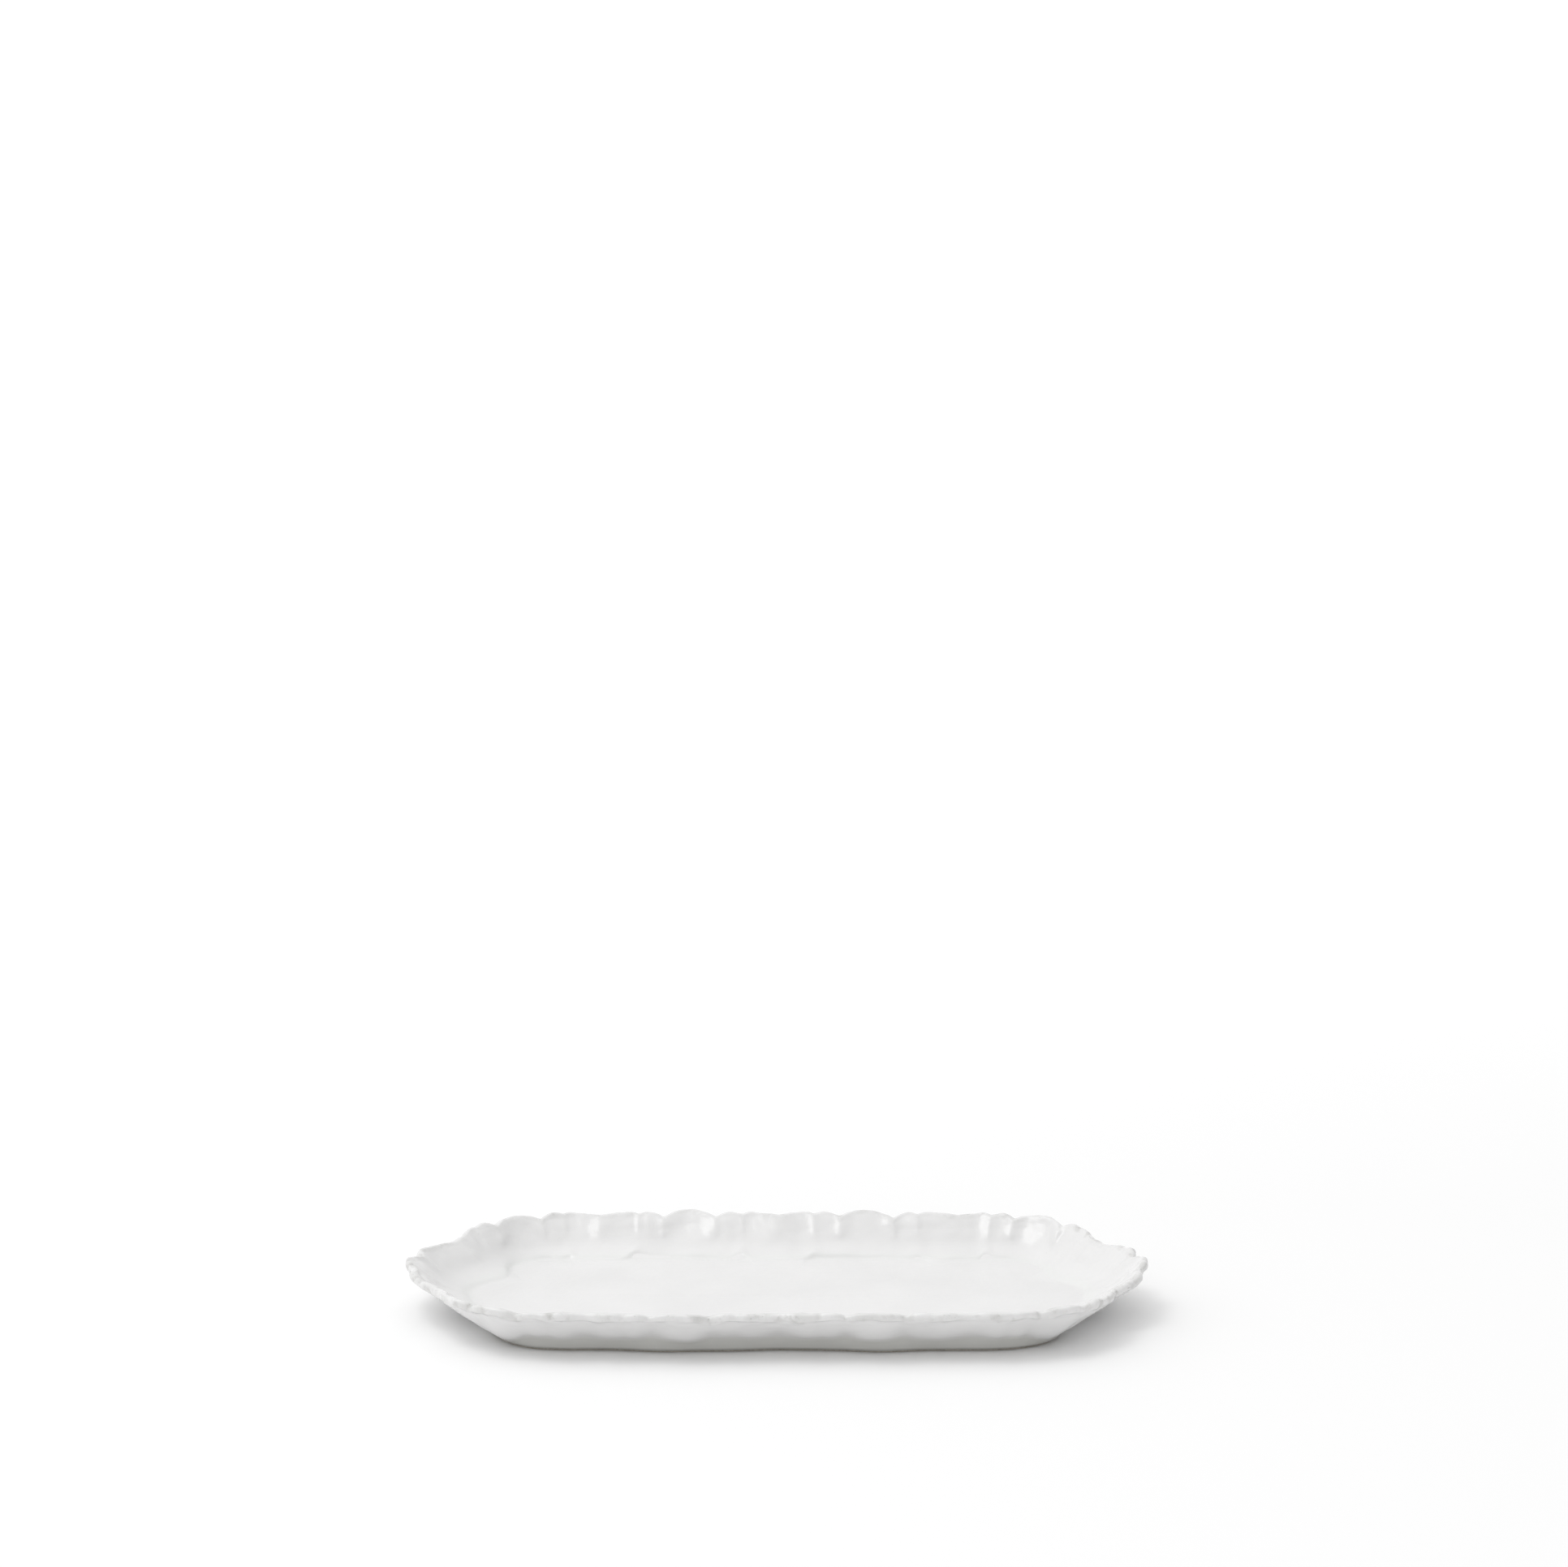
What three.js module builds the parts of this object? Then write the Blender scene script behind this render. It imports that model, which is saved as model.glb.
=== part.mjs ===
// A long scalloped serving platter of hand-pressed clay under a white glaze.
// Millimetres, +Z up, +X along the platter; the origin is the middle of the face it rests on.
// Its plan is a stadium: a straight spine along X with a round end about each spine end. Every
// point is named by its station (arc length along the rim line from the +X tip), its distance
// out from the spine, and its height.
import * as THREE from "three";

// Overall sizes
const SPINE_HALF = 110; // half the straight part of the plan
const RIM_RADIUS = 98; // spine to the mean rim line, so half the width
const RIM_HEIGHT = 28.3; // mean rim line above the table

// Section
const FLOOR_HEIGHT = 8; // glazed floor of the well above the table
const FLOOR_THICKNESS = 5.8; // clay and both glazes
const LIP_THICKNESS = 4.6; // across the rounded lip
const WALL_RUN = 29.4; // mean rim line in to the well's crease, in plan
const HEEL_INSET = 2; // outer face starts its rise this far inside the crease
const FOOT_INSET = 22.5; // mean rim line in to the foot's outer edge, at the long sides
const FOOT_FLARE = 4.2; // the foot's outer face leans out by this much up to the wall
const FOOT_WIDTH = 8;
const FOOT_CHAMFER = 0.6;
const GLAZE_END = 1.2; // the foot is wiped clean of glaze below this height
const GLAZE = 0.5; // thickness of the glaze coat
const GAP = 0.3; // between pieces that touch

// Scallops: every unit is a lobe, a petal, a bracket and a petal. Lobe centres sit on both tips.
const UNITS = 10;
const LOBE_HALF = 16; // along the rim, lobe centre to its notch
const PETAL = 14.7; // along the rim, one petal
const LOBE_CREST = { out: 2.2, up: 0.9 }; // each of these is from the mean rim line
const LOBE_NOTCH = { out: -3.4, up: -2.6 };
const PETAL_BULGE = { out: 2.6, up: 1.8 }; // from the line between the petal's two notches
const PETAL_NOTCH = { out: -1.3, up: -0.5 };
const BRACKET_SHOULDER = { out: 0.4, up: 0.1 };
const BRACKET_DIP = { out: -2.4, up: -0.8 };
const END_SAG = { out: -6, up: -2 }; // how much further a bracket sags where it faces along X
const LOBE_POWER = 2.4; // a lobe's crown is flatter than an arc
const FLUTE_FADE = 2.5; // how fast the scallops die away down the wall
const GENTLE_SHARE = 0.66; // share of the wall's rise that its even slope makes
const STEEP_START = 0.48; // distance share up the wall where a steeper slope joins in

// Outline of the well and of the foot, which wander with the scallops, most at the ends
const CREASE_WAVE = 2;
const CREASE_END_WAVE = 7;
const CREASE_END_PULL = 4;
const FOOT_WAVE = 1.2;
const FOOT_END_WAVE = 2.5;
const FOOT_END_PULL = 19;

// Grid
const LOBE_STEPS = 3;
const PETAL_STEPS = 2;
const BRACKET_STEPS = 2;
const WALL_STOPS = [0, 0.24, STEEP_START, 0.75]; // up the inner wall, crease to lip
const LIP_ANGLES = [140, 85, 25, -55]; // round the lip, inner wall to outer wall
const OUTER_STOPS = [0.7, 0.35, 0]; // down the outer wall, lip to foot

const RIM_LENGTH = 4 * SPINE_HALF + 2 * Math.PI * RIM_RADIUS;
const UNIT = RIM_LENGTH / UNITS;
const LIP_RADIUS = LIP_THICKNESS / 2;
const UNDERSIDE = FLOOR_HEIGHT - FLOOR_THICKNESS;
const BED_STEP = 2; // flat clay kept inside the foot before the underside's middle

const mix = (a, b, t) => a + (b - a) * t;
const mixShift = (a, b, t) => ({ out: mix(a.out, b.out, t), up: mix(a.up, b.up, t) });
const addShift = (a, b, t) => ({ out: a.out + b.out * t, up: a.up + b.up * t });

// The spine point and the outward direction of a station.
function ray(station) {
  const quarter = (Math.PI / 2) * RIM_RADIUS;
  const side = 2 * SPINE_HALF;
  const half = RIM_LENGTH / 2;
  const turned = station >= half;
  const s = turned ? station - half : station;
  const straight = THREE.MathUtils.clamp(s - quarter, 0, side);
  const angle = (s - straight) / RIM_RADIUS;
  const sign = turned ? -1 : 1;
  return {
    x: sign * (SPINE_HALF - straight),
    nx: sign * Math.cos(angle),
    ny: sign * Math.sin(angle),
  };
}

// Arc length from the nearest lobe centre, 0 at the lobe to half a unit at the bracket's middle.
function fromLobe(station) {
  const turns = station / UNIT;
  return Math.abs(turns - Math.round(turns)) * UNIT;
}

// +1 at a lobe's centre, -1 at a bracket's middle.
const wave = (station) => Math.cos((2 * Math.PI * station) / UNIT);

// How far the rim stands out and up from its mean line at a station: its scallops, and the share
// of the end brackets' sag.
function rimShift(station, nx) {
  const along = fromLobe(station);
  if (along <= LOBE_HALF) {
    const crown = (along / LOBE_HALF) ** LOBE_POWER;
    return { scallop: mixShift(LOBE_CREST, LOBE_NOTCH, crown), sag: 0 };
  }
  if (along <= LOBE_HALF + PETAL) {
    const t = (along - LOBE_HALF) / PETAL;
    const line = mixShift(LOBE_NOTCH, PETAL_NOTCH, t);
    return { scallop: addShift(line, PETAL_BULGE, Math.sin(Math.PI * t)), sag: 0 };
  }
  const start = LOBE_HALF + PETAL;
  const t = (along - start) / (UNIT / 2 - start);
  const dip = Math.sin((Math.PI / 2) * t) ** 2;
  const line = mixShift(PETAL_NOTCH, BRACKET_DIP, dip);
  return { scallop: addShift(line, BRACKET_SHOULDER, Math.sin(Math.PI * t)), sag: dip * nx * nx };
}

// The rim's shift as a wall face has it at a share t of the way up: the scallops fade quickly
// downwards and the sag evenly.
function carried({ scallop, sag }, t) {
  const fade = t ** FLUTE_FADE;
  return addShift({ out: scallop.out * fade, up: scallop.up * fade }, END_SAG, sag * t);
}

function creaseRadius(station, nx, ny) {
  const corner = (2 * nx * ny) ** 2;
  const swing = CREASE_WAVE + CREASE_END_WAVE * corner;
  return RIM_RADIUS - WALL_RUN + swing * wave(station) - CREASE_END_PULL * nx * nx;
}

function footRadius(station, nx, ny) {
  const corner = (2 * nx * ny) ** 2;
  const swing = FOOT_WAVE + FOOT_END_WAVE * corner;
  return RIM_RADIUS - FOOT_INSET + swing * wave(station) - FOOT_END_PULL * nx * nx;
}

const steepPart = (t) => Math.max(0, t - STEEP_START) / (1 - STEEP_START);
const rise = (t) => mix(steepPart(t), t, GENTLE_SHARE);

// A point on a face of the wall, a share t of the way from its start to its end on the lip.
function wallPoint(start, end, shift, t) {
  const { out, up } = carried(shift, t);
  return [mix(start[0], end[0], t) + out, mix(start[1], end[1], rise(t)) + up];
}

const lipPoint = (degrees) => {
  const angle = THREE.MathUtils.degToRad(degrees);
  return [
    RIM_RADIUS - LIP_RADIUS + LIP_RADIUS * Math.cos(angle),
    RIM_HEIGHT - LIP_RADIUS + LIP_RADIUS * Math.sin(angle),
  ];
};

// Everything about one station: its ray, its radii and the faces of its section.
function section(station) {
  const { x, nx, ny } = ray(station);
  const shift = rimShift(station, nx);
  const crease = [creaseRadius(station, nx, ny), FLOOR_HEIGHT];
  const heel = [crease[0] - HEEL_INSET, UNDERSIDE];
  const foot = footRadius(station, nx, ny);
  const lipInner = lipPoint(LIP_ANGLES[0]);
  const lipOuter = lipPoint(LIP_ANGLES.at(-1));
  // the platter's underside at a distance from the spine: flat, then the wall's outer face
  const under = (radius) => {
    const t = Math.max(0, (radius - heel[0]) / (lipOuter[0] - heel[0]));
    return [radius + carried(shift, t).out, wallPoint(heel, lipOuter, shift, t)[1]];
  };
  const { out, up } = carried(shift, 1);
  const face = [
    ...WALL_STOPS.map((t) => wallPoint(crease, lipInner, shift, t)),
    ...LIP_ANGLES.map(lipPoint).map(([r, z]) => [r + out, z + up]),
    ...OUTER_STOPS.map((t) => under(mix(foot + FOOT_FLARE, lipOuter[0], t))),
  ];
  // the foot's slanted outer face, moved in by a depth: its radius at a height
  const corner = face.at(-1);
  const slant = Math.hypot(corner[0] - foot, corner[1]) / corner[1];
  const footFace = (z, depth) => mix(foot, corner[0], z / corner[1]) - depth * slant;
  const bed = Math.min(heel[0], foot - FOOT_WIDTH) - BED_STEP;
  return { x, nx, ny, foot, footFace, bed, under, face };
}

const place = ({ x, nx, ny }, [radius, z]) => [x + nx * radius, ny * radius, z];

// Moves a section's outline inwards by a depth, square to its faces. The outline starts on the
// flat floor, and its last point only gives the direction of the last face.
function inset(outline, depth) {
  const normals = [[0, 1]];
  for (let i = 1; i < outline.length; i += 1) {
    const dr = outline[i][0] - outline[i - 1][0];
    const dz = outline[i][1] - outline[i - 1][1];
    const length = Math.hypot(dr, dz);
    normals.push([-dz / length, dr / length]);
  }
  return outline.slice(0, -1).map(([r, z], i) => {
    const [ar, az] = normals[i];
    const [br, bz] = normals[i + 1];
    const scale = depth / (1 + ar * br + az * bz);
    return [r - (ar + br) * scale, z - (az + bz) * scale];
  });
}

// The stations round the rim, closer together where the scallops turn.
function stationList() {
  const half = [];
  const stretch = (from, to, steps) => {
    for (let i = 0; i < steps; i += 1) half.push(mix(from, to, i / steps));
  };
  stretch(0, LOBE_HALF, LOBE_STEPS);
  stretch(LOBE_HALF, LOBE_HALF + PETAL, PETAL_STEPS);
  stretch(LOBE_HALF + PETAL, UNIT / 2, BRACKET_STEPS);
  const back = [UNIT / 2, ...half.slice(1).reverse()].map((s, i) => (i ? UNIT - s : s));
  const unit = [...half, ...back];
  return Array.from({ length: UNITS }, (_, u) => unit.map((s) => u * UNIT + s)).flat();
}

const sections = stationList().map(section);
const COUNT = sections.length;

// A closed body from an outline for every station: pointsOf gives a section's outline as a list
// of [radius, height], outward face on the left. The same place in every outline makes a ring
// round the platter. A closed outline joins its last ring to its first; an open one ends in two
// flat caps across the platter.
function bodyFromOutlines(name, pointsOf, closed, material) {
  const outlines = sections.map(pointsOf);
  const rings = outlines[0].length;
  const positions = outlines.flatMap((points, i) => points.flatMap((point) => place(sections[i], point)));
  const index = [];
  const at = (ring, i) => (i % COUNT) * rings + (ring % rings);
  const radius = (ring, i) => outlines[i % COUNT][ring % rings][0];
  const reach = (ring, i) => radius(ring, i) + radius(ring, i + 1);
  for (let ring = 0; ring < (closed ? rings : rings - 1); ring += 1) {
    for (let i = 0; i < COUNT; i += 1) {
      const corners = [at(ring, i), at(ring + 1, i), at(ring + 1, i + 1), at(ring, i + 1)];
      // every face is split from the outer point of one station to the inner point of the next,
      // so faces that lie on each other in two bodies bend the same way
      const outerFirst = reach(ring, i) > reach(ring + 1, i);
      const [a, b, c, d] = outerFirst ? corners : [...corners.slice(1), corners[0]];
      index.push(a, b, c, a, c, d);
    }
  }
  // A cap is strips across the platter, between stations that mirror each other in the X axis.
  const cap = (ring, facesUp) => {
    for (let i = 0; i < COUNT / 2; i += 1) {
      const strip = [at(ring, i), at(ring, i + 1), at(ring, COUNT - i - 1), at(ring, COUNT - i)];
      const corners = [...new Set(strip)];
      if (!facesUp) corners.reverse();
      const [a, b, c, d] = corners;
      index.push(a, b, c);
      if (d !== undefined) index.push(a, c, d);
    }
  };
  if (!closed) {
    cap(0, true);
    cap(rings - 1, false);
  }
  const geometry = new THREE.BufferGeometry();
  geometry.setAttribute("position", new THREE.Float32BufferAttribute(positions, 3));
  geometry.setIndex(index);
  geometry.computeVertexNormals();
  const mesh = new THREE.Mesh(geometry, material);
  mesh.name = name;
  return mesh;
}

const clay = new THREE.MeshStandardMaterial({ color: 0xd9d2c6, roughness: 0.85, metalness: 0 });
const footClay = new THREE.MeshStandardMaterial({ color: 0xcfc5b4, roughness: 0.9, metalness: 0 });
const glaze = new THREE.MeshStandardMaterial({ color: 0xf1f0ec, roughness: 0.12, metalness: 0 });
const underGlaze = new THREE.MeshStandardMaterial({ color: 0xe9e8e2, roughness: 0.2, metalness: 0 });

// The pressed slab: floor, wall and scalloped lip in one sheet of clay.
function platterBody() {
  const depth = GLAZE + GAP;
  const outline = ({ face, foot, bed, under }) => {
    const seat = under(foot - FOOT_WIDTH);
    return [...inset([...face, seat], depth), [seat[0], seat[1] + depth], [bed, UNDERSIDE + depth]];
  };
  return bodyFromOutlines("platter_body", outline, false, clay);
}

// The strip of clay luted on under the slab, flaring out to meet the wall, with its bottom edges
// chamfered.
function footRing() {
  const outline = ({ foot, footFace, under }) => {
    const depth = GLAZE + GAP;
    const top = foot + FOOT_FLARE - depth;
    const topHeight = under(top)[1] + GLAZE;
    const inner = foot - FOOT_WIDTH + depth;
    return [
      [footFace(topHeight, depth), topHeight],
      [footFace(FOOT_CHAMFER, depth), FOOT_CHAMFER],
      [footFace(0, depth) - FOOT_CHAMFER, 0],
      [inner + FOOT_CHAMFER, 0],
      [inner, FOOT_CHAMFER],
      [inner, under(inner)[1] + GLAZE],
    ];
  };
  return bodyFromOutlines("foot_ring", outline, true, footClay);
}

// The coat over the well, wall and lip, and down the outside to the wiped foot.
function glazeUpper() {
  const outline = ({ face, foot, footFace }) => [
    ...face,
    [footFace(GLAZE_END, 0), GLAZE_END],
    [footFace(GLAZE_END, GLAZE), GLAZE_END],
    ...inset([...face, [foot, 0]], GLAZE).reverse(),
  ];
  return bodyFromOutlines("glaze_upper", outline, false, glaze);
}

// The coat on the underside, inside the foot ring.
function glazeUnderside() {
  const outline = ({ foot, bed, under }) => {
    const wall = foot - FOOT_WIDTH;
    const top = under(wall)[1];
    return [
      [bed, UNDERSIDE + GLAZE],
      [wall + GLAZE, top + GLAZE],
      [wall + GLAZE, GLAZE_END],
      [wall, GLAZE_END],
      [wall, top],
      [bed, UNDERSIDE],
    ];
  };
  return bodyFromOutlines("glaze_underside", outline, false, underGlaze);
}

const platter = new THREE.Group();
platter.add(platterBody(), footRing(), glazeUpper(), glazeUnderside());

export default platter;
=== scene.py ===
import math

import bpy
import numpy as np
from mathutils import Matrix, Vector


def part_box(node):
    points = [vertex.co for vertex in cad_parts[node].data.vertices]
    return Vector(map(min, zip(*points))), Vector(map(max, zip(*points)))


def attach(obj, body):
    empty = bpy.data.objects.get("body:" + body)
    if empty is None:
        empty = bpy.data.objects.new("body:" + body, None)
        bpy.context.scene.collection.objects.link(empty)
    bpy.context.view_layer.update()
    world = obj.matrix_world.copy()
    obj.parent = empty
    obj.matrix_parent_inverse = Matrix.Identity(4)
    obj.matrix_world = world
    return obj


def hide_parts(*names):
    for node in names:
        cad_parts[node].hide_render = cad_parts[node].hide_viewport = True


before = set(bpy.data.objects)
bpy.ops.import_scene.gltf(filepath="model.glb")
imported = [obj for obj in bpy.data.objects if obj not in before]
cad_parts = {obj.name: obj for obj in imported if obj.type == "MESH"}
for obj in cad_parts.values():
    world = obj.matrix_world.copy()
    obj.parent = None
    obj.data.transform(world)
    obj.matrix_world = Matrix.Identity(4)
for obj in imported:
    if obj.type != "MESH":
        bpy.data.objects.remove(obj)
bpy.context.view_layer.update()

# ---- The pressed slab ----
# One rolled sheet of clay, pressed over a hump mould while its rim was pinched into scallops. It
# carries the flat well, the flaring wall and the thick lip, and the two glazes hide nearly all
# of it. The sizes of all the pieces are millimetres; lay_mesh turns them into metres.

MM = 0.001
coat_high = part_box("glaze_upper")[1]
# Each of these pairs is a step out and a step up of the rim from its mean line.
LOBE_CREST = (2.2, 0.9)
LOBE_NOTCH = (-3.4, -2.6)
PETAL_BULGE = (3.0, 2.1)
PETAL_NOTCH = (-1.9, -0.9)
SHOULDER = (2.2, 0.9)
BRACKET_DIP = (-2.4, -0.8)
END_DIP = (-6.0, -2.0)  # a bracket's extra dip on a round end
SPINE_HALF = (coat_high.x - coat_high.y) / MM
RIM_RADIUS = coat_high.y / MM - LOBE_CREST[0]
RIM_HEIGHT = coat_high.z / MM - LOBE_CREST[1]
RIM_LENGTH = 4 * SPINE_HALF + 2 * math.pi * RIM_RADIUS
UNIT = RIM_LENGTH / 10  # ten units round the rim: a lobe, a petal, a bracket and a petal
LOBE_HALF = 16.0
PETAL = 14.7
TIP_BULGE = 1.4  # how far the -X tip was pulled out by hand
FLOOR_HEIGHT = 8.0
UNDERSIDE = 2.2
WALL_RUN = 29.4  # from the mean rim line in to the crease, where the well's floor ends
WALL_LEAD = 6.0  # the wall's rows start this far inside the crease
BACK_LEAD = 2.0  # and the wall's back bends up from this far inside it
BACK_FLUTES = 0.25  # share of the rim's scallops that the back keeps at its foot
GENTLE_SHARE = 0.66  # share of the wall's height that its gentle slope climbs
STEEP_START = 0.48  # share of the wall's run at which the steeper slope joins in
STEEP_SOFTNESS = 0.07
CREASE_SOFTNESS = 0.05
BROAD_WAVE = 14.0  # scallops softened over this length leave only the rim's broad sway
FOOT_INSET = 22.5
FOOT_END_PULL = 19.0  # how much further in the foot lies at the tips
FOOT_WIDTH = 8.0
FOOT_FLARE = 4.2  # the foot's outer face leans out by this much up to the wall
FOOT_BEND = 1.6  # the bend between the wall's back and the foot starts this far outside it
JUNCTION_WAVE = 0.65  # how far that meeting line dips under a scallop, for each mm it stands out
JUNCTION_REACH = 7.0  # and how far up the wall's back the dip is felt
LIP_RADIUS = 2.15
LIP_SQUARENESS = 0.8
LIP_START, LIP_END = math.radians(138), math.radians(-62)
GLAZE = 0.5
GAP = 0.3
GLAZE_END = 1.2  # the foot is wiped clean of glaze below this height
STATIONS = 960


def rim_ray(s):
    """The spine point and the outward direction at rim arc length s from the +X tip: s runs round
    a quarter end, along a side, and so on, so the spine x slides only while the side is straight."""
    half = RIM_LENGTH / 2
    turned = s >= half
    along = np.where(turned, s - half, s)
    straight = np.clip(along - math.pi / 2 * RIM_RADIUS, 0, 2 * SPINE_HALF)
    angle = (along - straight) / RIM_RADIUS
    sign = np.where(turned, -1.0, 1.0)
    return sign * (SPINE_HALF - straight), sign * np.cos(angle), sign * np.sin(angle)


def waver(s, size, cycles, seed):
    """The slow unevenness of hand work: a sum of sines with whole numbers of cycles round the rim,
    with seeded phases, scaled so that its root mean square is size."""
    draw = np.random.default_rng(seed)
    total = np.zeros_like(s)
    for cycle in cycles:
        strength = draw.uniform(0.5, 1.0)
        total += strength * np.sin(2 * np.pi * cycle * s / RIM_LENGTH + draw.uniform(0, 6.28))
    mean_square = 0.29  # of one such sine, over all strengths and phases
    return size * total / math.sqrt(len(cycles) * mean_square)


def soften(values, width):
    """Values round the rim averaged with a bell-shaped weight of this width, by way of their
    frequencies: each fades as the exponential of its own frequency squared."""
    cycles = np.fft.rfftfreq(STATIONS, RIM_LENGTH / STATIONS)
    fading = np.exp(-2 * (np.pi * cycles * width) ** 2)
    return np.fft.irfft(np.fft.rfft(values) * fading, STATIONS)


def rim_shift(s, nx):
    """How far the rim stands out and up from its mean line. From a lobe's middle to its notch it
    falls as distance to the power 2.4, each petal is a sine arch, and a bracket dips between two
    shoulders as a squared sine, deeper where it faces along X. The scallops wander a little
    sideways, and a narrow bell in the direction's X share pulls out the -X tip."""
    wandered = s + waver(s, 0.7, (7, 12, 17, 23, 31), 2)
    along = np.abs(wandered / UNIT - np.round(wandered / UNIT)) * UNIT
    lobe = np.clip(along / LOBE_HALF, 0, 1) ** 2.4
    petal = np.clip((along - LOBE_HALF) / PETAL, 0, 1)
    arch = np.sin(np.pi * petal ** 0.8) ** 0.8
    bracket = np.clip((along - LOBE_HALF - PETAL) / (UNIT / 2 - LOBE_HALF - PETAL), 0, 1)
    shoulder = np.clip(np.sin(np.pi * bracket ** 0.5), 0, 1)
    dip = np.sin(np.pi / 2 * bracket) ** 2
    end_dip = np.sin(np.pi / 2 * bracket ** 0.7) ** 2 * nx ** 2 * (1 + 0.15 * nx)
    shift = []
    for axis in (0, 1):
        part = LOBE_CREST[axis] + (LOBE_NOTCH[axis] - LOBE_CREST[axis]) * lobe
        part = part + (PETAL_NOTCH[axis] - LOBE_NOTCH[axis]) * petal + PETAL_BULGE[axis] * arch
        part = part + (BRACKET_DIP[axis] - PETAL_NOTCH[axis]) * dip
        part = part + SHOULDER[axis] * shoulder * (1 - 0.6 * nx ** 2)
        shift.append(part + END_DIP[axis] * end_dip)
    out = soften(shift[0], 0.7) + waver(s, 0.30, (3, 5, 8, 13, 21), 3)
    out = out + TIP_BULGE * np.exp(-((nx + 1) / 0.06) ** 2)
    up = soften(shift[1], 0.7) + waver(s, 0.20, (2, 5, 9, 14, 23), 4)
    return out, up


def outer_shift(shift):
    """A rim shift as the lip's outer side has it: a little of it, and the rest softened, so that
    the notches are mostly filled out."""
    return 0.15 * shift + 0.85 * soften(shift, 3.5)


def fluting(t):
    """How much of the rim's scallops a wall face keeps at distance share t: none below two fifths,
    all above three quarters, and a cubic ease between."""
    x = np.clip((t - 0.40) / 0.38, 0, 1)
    return x * x * (3 - 2 * x)


def carried(shift, t):
    """A rim shift as it reaches the inner wall: its broad part fades evenly with distance share t,
    its narrower parts fade as the fluting does, and the narrowest soonest."""
    fade = fluting(t)
    broad, middle = soften(shift, BROAD_WAVE), soften(shift, 5.0)
    return broad * np.clip(t, 0, 1) + (middle - broad) * fade + (shift - middle) * fade ** 1.6


def crease_radius(s, nx, ny):
    """Where the well's floor meets the wall: the mean rim line less the wall's run, with a cosine
    that goes out at the lobes and in at the brackets, most so on the shoulders of the round ends,
    and a pull inwards at the tips as the square of nx."""
    swing = 2.0 + 7.0 * (2 * nx * ny) ** 2
    wave = swing * np.cos(2 * np.pi * s / UNIT)
    end_pull = 4.0 * nx ** 2
    return RIM_RADIUS - WALL_RUN + wave - end_pull + waver(s, 0.5, (4, 7, 12, 19), 5)


def thumbed_step(s, ny, r, crease):
    """Height of the small step that the thumb left along the crease: a tanh S-curve across a line,
    fading up the wall as an exponential. Along the sides the line sags in under each bracket and
    runs out to a bell-shaped pocket under each of its notches. Round the ends it runs smooth, its
    step is wider, and at the -X end it is a little higher."""
    along = np.abs(s / UNIT - np.round(s / UNIT)) * UNIT
    bracket_start = LOBE_HALF + PETAL
    deep = 0.7 + waver(s, 0.35, (3, 7, 9, 13), 16)
    pocket = np.exp(-((along - bracket_start) / 4.5) ** 2) * deep
    side = np.clip((ny ** 2 - 0.55) / 0.35, 0, 1)
    pocket_out, bracket_in = 3.9 * pocket, 2.2 * (along > bracket_start + 4)
    line = crease + 0.5 + (pocket_out - bracket_in) * side
    line = soften(line, 2.4) + waver(s, 0.7, (6, 11, 17, 29), 9)
    left_end = np.clip(-rim_ray(s)[1], 0, 1)
    height = 1.2 + waver(s, 0.32, (5, 9, 14, 22), 10) + 0.8 * pocket * side + 0.4 * left_end
    fall = np.exp(-np.clip(r - line, 0, None) / 6.0)
    width = 1.05 + 1.6 * (1 - side)
    return height * fall * (0.5 + 0.5 * np.tanh((r - line) / width))


def foot_radius(s, nx, ny):
    """The foot's outer edge on the table: the mean rim line less the inset, with a small cosine
    that follows the lobes, more on the shoulders of the round ends, and a hand's waver. It draws
    in at the tips as the square of nx."""
    swing = 1.2 + 2.5 * (2 * nx * ny) ** 2
    wave = swing * np.cos(2 * np.pi * s / UNIT) + waver(s, 0.4, (7, 11, 17, 26), 6)
    return RIM_RADIUS - FOOT_INSET + wave - FOOT_END_PULL * nx ** 2


def soft_ramp(x, width):
    """A ramp with a rounded start: width times the log of one plus e to the x over width."""
    return width * np.logaddexp(0, x / width)


def wall_rise(t):
    """Height share of a wall face at distance share t: a gentle slope from a rounded crease, and
    a second, steeper slope that joins it half-way up, each a ramp with a rounded start."""
    gentle = soft_ramp(t, CREASE_SOFTNESS)
    steep = soft_ramp(t - STEEP_START, STEEP_SOFTNESS) / soft_ramp(1 - STEEP_START, STEEP_SOFTNESS)
    return GENTLE_SHARE * gentle + (1 - GENTLE_SHARE) * steep


def lip_radii(s, nx):
    """The lip's own radius at every station, a little fuller round the ends."""
    return LIP_RADIUS * (1 + waver(s, 0.09, (11, 19, 31, 47, 68), 8) + 0.12 * nx ** 2)


def lip_arc(lip, share):
    """The lip's section from the inner wall round to the wall's back: a squared-off arc, whose
    cosine and sine keep their signs but are taken to a power below one."""
    angle = LIP_START + (LIP_END - LIP_START) * share
    across, rise = np.cos(angle), np.sin(angle)
    across = np.sign(across) * np.abs(across) ** LIP_SQUARENESS
    rise = np.sign(rise) * np.abs(rise) ** LIP_SQUARENESS
    return RIM_RADIUS - lip + lip * across, RIM_HEIGHT - lip + lip * rise


def slab_parts(s):
    """What a station's wall is built from: crease and foot radius, the lip's radius, and the rim's
    shift out and up on the lip's inner side."""
    nx, ny = rim_ray(s)[1:]
    return crease_radius(s, nx, ny), foot_radius(s, nx, ny), lip_radii(s, nx), rim_shift(s, nx)


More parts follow.
